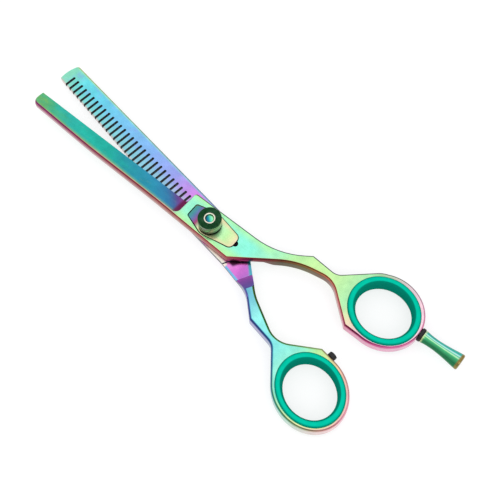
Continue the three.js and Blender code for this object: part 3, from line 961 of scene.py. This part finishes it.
def neck_face(nodes, face, x, y, height):
    """Blue bands along both edges of the neck, a dark foot at its step that is a painted shadow of the
    plain half, and a cream rim beside the boss that is a painted highlight.
    """
    inner = nodes.span(height, 2.5, 2.9)
    in_neck = nodes.times(nodes.span(x, -25.5, -24.5), nodes.span(x, -13.2, -13.9), inner)
    near_band = nodes.beyond(x, y, (-12, 0), (0.085, 1))
    face = nodes.mix(nodes.times(in_neck, nodes.span(near_band, 4.7, 5.3)), face, (122, 190, 230))
    far_band = nodes.beyond(x, y, (-12, -6.1), (-0.58, -0.81))
    face = nodes.mix(nodes.times(in_neck, nodes.span(far_band, -1.5, -0.7)), face, (86, 168, 190))
    forward = (math.cos(RAMP_SKEW), -math.sin(RAMP_SKEW))
    from_ramp = nodes.beyond(x, y, (RAMP_START_X, -RAMP_CENTRE_Y), forward)
    # Painted shadow: dark where the plain half's edge shades the neck's step.
    painted_shade_foot = nodes.times(nodes.span(from_ramp, 4.5, 5.6), nodes.span(y, 4.2, 3.4), in_neck, 0.9)
    face = nodes.mix(painted_shade_foot, face, (36, 10, 40))
    # Painted highlight: cream on the ride land beside the boss.
    rim = nodes.times(nodes.span(x, -13.9, -13.2), nodes.span(x, -2, -6), nodes.span(y, 4.2, 4.9), inner)
    return nodes.mix(rim, face, (244, 236, 222))


def comb_coat():
    made, nodes = material("comb half coat")
    place = nodes.position(REST_ANGLE)
    x, y, height = nodes.split(place)
    face = neck_face(nodes, comb_blade_face(nodes, place, x, y), x, y, height)
    face = ring_face(nodes, face, x, y, (THUMB_RING["x"], -THUMB_RING["y"]), THUMB_RING_FACE)
    facing = nodes.split(nodes.normal(REST_ANGLE))
    coat(nodes, place, edged(nodes, face, x, COMB_NEAR, COMB_FAR, facing))
    return made


def neck_ramp_coat():
    """The slope between neck and shank, where the coat turns from magenta to violet."""
    made, nodes = material("neck ramp coat")
    place = nodes.position(REST_ANGLE)
    height = nodes.split(place)[2]
    stops = [
        (3.0, (70, 44, 100)), (3.12, (186, 100, 204)), (3.9, (150, 92, 190)), (5.0, (118, 84, 172)),
        (6.2, (92, 84, 168)),
    ]
    coat(nodes, place, nodes.ramp(height, 2.9, 6.3, stops), 0.35, 0.35)
    return made


def slot_wall():
    made, nodes = material("slot wall")
    # Near black and not metallic: painted shade inside the narrow slots.
    coat(nodes, nodes.position(REST_ANGLE), (0, 5, 8), 0.6, 0.0)
    return made


def leaf_coat():
    """Lime with cream edges behind the knob, and a violet to blue front end."""
    made, nodes = material("leaf coat")
    place = nodes.position()
    x, y, _ = nodes.split(place)
    up = nodes.math("ABSOLUTE", nodes.split(nodes.normal())[2])
    stops = [
        (-11, (246, 216, 190)), (-9.4, (232, 240, 180)), (-7, (204, 252, 178)), (-3, (186, 250, 196)),
        (2, (196, 246, 190)), (3.9, (178, 78, 122)), (4.8, (146, 98, 158)), (5.7, (108, 124, 176)),
        (6.6, (84, 152, 170)), (7.8, (84, 166, 150)),
    ]
    face = nodes.ramp(x, -12, 9, stops)
    sides = nodes.times(nodes.span(nodes.math("ABSOLUTE", y), 1.4, 3.4), nodes.span(x, 3.0, 2.0))
    face = nodes.mix(sides, face, (238, 230, 180))
    stops = [(-11, (250, 200, 190)), (0, (226, 196, 160)), (5, (66, 84, 120)), (8, (60, 110, 96))]
    rim = nodes.ramp(x, -12, 9, stops)
    coat(nodes, place, nodes.mix(nodes.span(up, 0.5, 0.98), rim, face))
    return made


def screw_coat():
    made, nodes = material("screw coat")
    place = nodes.position()
    x, y, _ = nodes.split(place)
    across = nodes.beyond(x, y, (0, 0), (-0.6, -0.8))
    stops = [(-1.4, (30, 40, 110)), (-0.4, (30, 150, 170)), (0.5, (120, 240, 190)), (1.4, (190, 250, 190))]
    coat(nodes, place, nodes.ramp(across, -2, 2, stops), 0.16)
    return made


def knob_coat():
    """Dark green, polished; the turned wall is paler than the top, in bands by height that are painted
    reflections, darkest at its foot as painted shade.
    """
    made, nodes = material("knob coat")
    place = nodes.position()
    height = nodes.split(place)[2]
    cloud = nodes.noise(place, 0.7, 3.0, 0.6)
    top = nodes.ramp(cloud, 0.3, 0.7, [(0.3, (12, 50, 24)), (0.5, (22, 66, 36)), (0.7, (44, 80, 58))])
    # The wall's bands by height: painted reflections on the polished wall, with painted shade at its foot.
    stops = [
        (7.0, (20, 34, 24)), (7.5, (48, 66, 50)), (8.2, (96, 118, 98)), (9.2, (150, 162, 142)),
        (9.8, (104, 124, 104)), (10.2, (44, 76, 52)), (10.45, (168, 186, 156)), (10.62, (30, 66, 40)),
    ]
    wall = nodes.ramp(height, 6.9, 10.9, stops)
    upward = nodes.span(nodes.split(nodes.normal())[2], 0.75, 0.95)
    polish = nodes.slant(0.08, (nodes.noise(place, 3.0), 0.1))
    turning = nodes.noise(place, 6.0, 1.0, 0.5, (0.2, 0.2, 3.0))
    nodes.surface(nodes.mix(upward, wall, top), polish, 0.9, nodes.bump(turning, 0.08, 0.03))
    return made


def core_metal():
    made, nodes = material("nickel")
    place = nodes.position()
    colour = nodes.mix(nodes.noise(place, 1.5), (206, 200, 178), (240, 236, 220))
    nodes.surface(colour, nodes.slant(0.15, (nodes.noise(place, 5.0), 0.15)), 1.0)
    return made


def rest_coat():
    """Teal to green round the rest, with two pale streaks of painted highlight and flanks darkened as
    painted shade, a pale collar, and a worn gold end.
    """
    made, nodes = material("rest coat")
    place = nodes.position()
    x = nodes.split(place)[0]
    facing = nodes.split(nodes.normal())
    round_it = nodes.slant(0, (facing[1], 0.9), (facing[2], 0.35))
    # Round the rest by the normal: painted highlights near the top and painted shade on the flanks.
    stops = [
        (-1, (16, 92, 88)), (-0.5, (34, 142, 126)), (-0.05, (74, 206, 190)), (0.12, (214, 255, 250)),
        (0.26, (76, 200, 164)), (0.42, (200, 250, 196)), (0.54, (78, 186, 126)), (1, (36, 108, 70)),
    ]
    body = nodes.ramp(round_it, -1, 1, stops)
    rim = nodes.times(nodes.span(x, -90.1, -90.7), nodes.span(nodes.noise(place, 0.6), 0.2, 0.5))
    end = nodes.mix(nodes.noise(place, 0.9, 3.0, 0.6), (104, 82, 44), (176, 154, 88))
    body = nodes.mix(rim, body, end)
    collar = nodes.times(nodes.span(x, -77.9, -77.3), 0.6)
    coat(nodes, place, nodes.mix(collar, body, (226, 236, 170)), 0.16)
    return made


def rubber(name, colours, rough, shine=0.3):
    """Moulded rubber: slight mottling, a fine skin texture, uneven gloss, and upright walls darkened with
    painted shade.
    """
    made, nodes = material(name)
    place = nodes.position()
    cloud = nodes.noise(place, 0.5, 3.0, 0.6)
    skin = nodes.noise(place, 7.0, 3.0, 0.6)
    upward = nodes.math("ABSOLUTE", nodes.split(nodes.normal())[2])
    lit = nodes.mix(cloud, colours[0], colours[1])
    # The third colour is painted shade on the upright walls.
    shaded = nodes.mix(nodes.span(upward, 0.7, 0.985), colours[2], lit)
    nodes.shader.inputs["Specular IOR Level"].default_value = shine
    nodes.surface(shaded, nodes.slant(rough - 0.07, (skin, 0.14)), 0.0, nodes.bump(skin, 0.12, 0.03))
    return made


def plain_metal(name, dark, light, rough):
    made, nodes = material(name)
    place = nodes.position()
    turning = nodes.noise(place, 4.0, 2.0, 0.5, (0.3, 0.3, 2.5))
    polish = nodes.slant(rough - 0.07, (turning, 0.15))
    nodes.surface(nodes.mix(turning, dark, light), polish, 1.0, nodes.bump(turning, 0.15, 0.02))
    return made


# ---- material regions


def assign_regions(obj, materials, region):
    """Gives each face the material that region(centre in mm, normal) names by number."""
    obj.data.materials.clear()
    for made in materials:
        obj.data.materials.append(made)
    for face in obj.data.polygons:
        centre = face.center * 1000
        face.material_index = region(centre, face.normal)


def plain_region(centre, normal):
    """0 for the coat, 1 for the blade's facet, 2 for the heel wall, 3 for the leaf's pocket."""
    over_pocket = -12.5 < centre.x < 8.2 and abs(centre.y) < 5.1
    over_pocket = over_pocket and PLATE_BOTTOM - 0.2 < centre.z < 6.19
    if over_pocket and (abs(normal.z) < 0.2 or centre.z < PLATE_BOTTOM):
        return 3
    if centre.x > 9.5 and centre.z > PARTING_Z + 0.2:
        if normal.y < -0.12 and normal.z > 0.9:
            return 1
        if normal.x > 0.3 and normal.z > 0.15 and centre.x < 16:
            return 2
    return 0


def comb_region(centre, normal):
    """0 for the coat, 1 for the slots' walls, 2 for the ramp behind the neck."""
    turned = centre.copy()
    turned.rotate(Matrix.Rotation(REST_ANGLE, 3, "Z"))
    facing = normal.copy()
    facing.rotate(Matrix.Rotation(REST_ANGLE, 3, "Z"))
    if facing.x > 0.25 and facing.z > 0.5 and -27 < turned.x < -19:
        return 2
    inside = 11.5 < turned.x < 75.2 and -3.1 < turned.y
    tooth_tip = turned.y > (COMB_TIP["x"] - turned.x) * TIPS_TAPER - COMB_TIP["y"] - 0.1
    if inside and abs(facing.z) < 0.3 and not tooth_tip:
        return 1
    return 0


def dress(obj, body, node, made):
    obj.data.materials.clear()
    obj.data.materials.append(made)
    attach(obj, body)
    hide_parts(node)


# ---- assembly

plain = plain_half()
stand_plain(plain)
assign_regions(plain, [plain_coat(), plain_facet(), heel_coat_and_reflection(), recess_coat()], plain_region)
finish_surface(plain)
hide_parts("plain_blade_half")

comb = comb_half()
stand_comb(comb)
assign_regions(comb, [comb_coat(), slot_wall(), neck_ramp_coat()], comb_region)
finish_surface(comb)
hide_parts("comb_blade_half")

# Each rubber's third colour is its painted shade on upright walls.
teal_rubber = rubber("teal rubber", [(0, 176, 146), (8, 200, 170), (4, 126, 106)], 0.22, 0.0)
black_rubber = rubber("black rubber", [(24, 24, 26), (36, 36, 38), (14, 14, 16)], 0.5)

finger_insert = ring_insert("finger_insert_moulded", FINGER_HOLE)
stand_plain(finger_insert)
thumb_insert = ring_insert("thumb_insert_moulded", THUMB_HOLE)
stand_comb(thumb_insert)
stub = bumper()
stand_comb(stub)
for piece, node, slot, made in (
    (finger_insert, "finger_ring_insert", "insert_rubber", teal_rubber),
    (thumb_insert, "thumb_ring_insert", "insert_rubber", teal_rubber),
    (stub, "ring_bumper", "black_rubber", black_rubber),
):
    piece.data.materials.append(made)
    finish_surface(piece, 40)
    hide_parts(node)

for piece, body, node, slot, made in (
    (leaf(), "plain_half", "tension_plate", "plate_coat", leaf_coat()),
    (knob(), "knob", "tension_knob", "knob_coat", knob_coat()),
    (core(), "knob", "knob_core", "core_nickel", core_metal()),
    (screw(), "plain_half", "pivot_screw", "screw_coat", screw_coat()),
    (finger_rest(), "rest", "finger_rest", "rest_coat", rest_coat()),
    (rest_washer(), "rest_washer", "finger_rest_washer", "black_rubber", black_rubber),
):
    dress(piece, body, node, made)
    finish_surface(piece, 35)

steel = plain_metal("turned steel", (150, 152, 150), (205, 206, 202), 0.3)
nylon = rubber("nylon", [(226, 222, 210), (242, 240, 232), (226, 222, 212)], 0.5)
for node, made in (
    ("spring_washer", steel),
    ("finger_rest_stud", steel),
    ("glide_washer", nylon),
    ("screw_head_washer", nylon),
):
    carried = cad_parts[node]
    carried.data.materials.clear()
    carried.data.materials.append(made)

# ---- floor, light and camera


def floor():
    side = 3000
    corners = [(-side, -side), (side, -side), (side, side), (-side, side)]
    made, nodes = material("pale floor")
    place = nodes.position()
    shade = nodes.mix(nodes.noise(place, 0.02, 3.0), (150, 150, 152), (156, 156, 157))
    nodes.link(shade, nodes.shader.inputs["Base Color"])
    nodes.shader.inputs["Roughness"].default_value = 0.9
    nodes.shader.inputs["Specular IOR Level"].default_value = 0.0
    nodes.shader.inputs["Emission Color"].default_value = (1, 1, 1, 1)
    nodes.shader.inputs["Emission Strength"].default_value = 0.72
    plane = new_object("floor", [(x, y, -0.02) for x, y in corners], [(0, 1, 2, 3)])
    plane.data.materials.append(made)


def sky():
    """Even white light from all round, a little brighter from above."""
    world = bpy.data.worlds.new("studio")
    bpy.context.scene.world = world
    world.use_nodes = True
    tree = world.node_tree
    tree.nodes.clear()
    output = tree.nodes.new("ShaderNodeOutputWorld")
    background = tree.nodes.new("ShaderNodeBackground")
    coords = tree.nodes.new("ShaderNodeTexCoord")
    split = tree.nodes.new("ShaderNodeSeparateXYZ")
    ramp = tree.nodes.new("ShaderNodeValToRGB")
    tree.links.new(coords.outputs["Generated"], split.inputs[0])
    tree.links.new(split.outputs[2], ramp.inputs[0])
    tree.links.new(ramp.outputs[0], background.inputs[0])
    tree.links.new(background.outputs[0], output.inputs[0])
    elements = ramp.color_ramp.elements
    elements[0].position, elements[0].color = 0.0, (0.72, 0.73, 0.74, 1)
    elements[1].position, elements[1].color = 1.0, (1.12, 1.12, 1.12, 1)
    middle = elements.new(0.5)
    middle.color = (0.95, 0.95, 0.96, 1)
    background.inputs[1].default_value = 1.0


def softbox(name, location, size, power):
    data = bpy.data.lights.new(name, "AREA")
    data.shape = "SQUARE"
    data.size = size
    data.energy = power
    light = bpy.data.objects.new(name, data)
    light.location = location
    light.rotation_euler = (-Vector(location)).to_track_quat("-Z", "Y").to_euler()
    bpy.context.scene.collection.objects.link(light)


def camera():
    """Looks down at 68 degrees, from the side that the handles' thickness shows on."""
    aim = Vector((-16.1, -1.1, 6.2)) * MM
    distance = 391.2 * MM
    height, heading = math.radians(68), math.radians(129.35)
    away = Vector(
        (math.cos(height) * math.cos(heading), math.cos(height) * math.sin(heading), math.sin(height))
    )
    data = bpy.data.cameras.new("camera")
    data.lens = 86.4
    data.sensor_width = 36
    data.clip_start = 0.01
    view = bpy.data.objects.new("camera", data)
    view.location = aim + away * distance
    view.rotation_euler = (-away).to_track_quat("-Z", "Y").to_euler()
    bpy.context.scene.collection.objects.link(view)
    bpy.context.scene.camera = view


floor()
sky()
softbox("key softbox", (-0.55, 0.25, 0.45), 0.5, 1.0)
softbox("fill softbox", (0.55, 0.35, 0.4), 0.5, 0.6)
camera()
bpy.context.scene.view_settings.view_transform = "Standard"
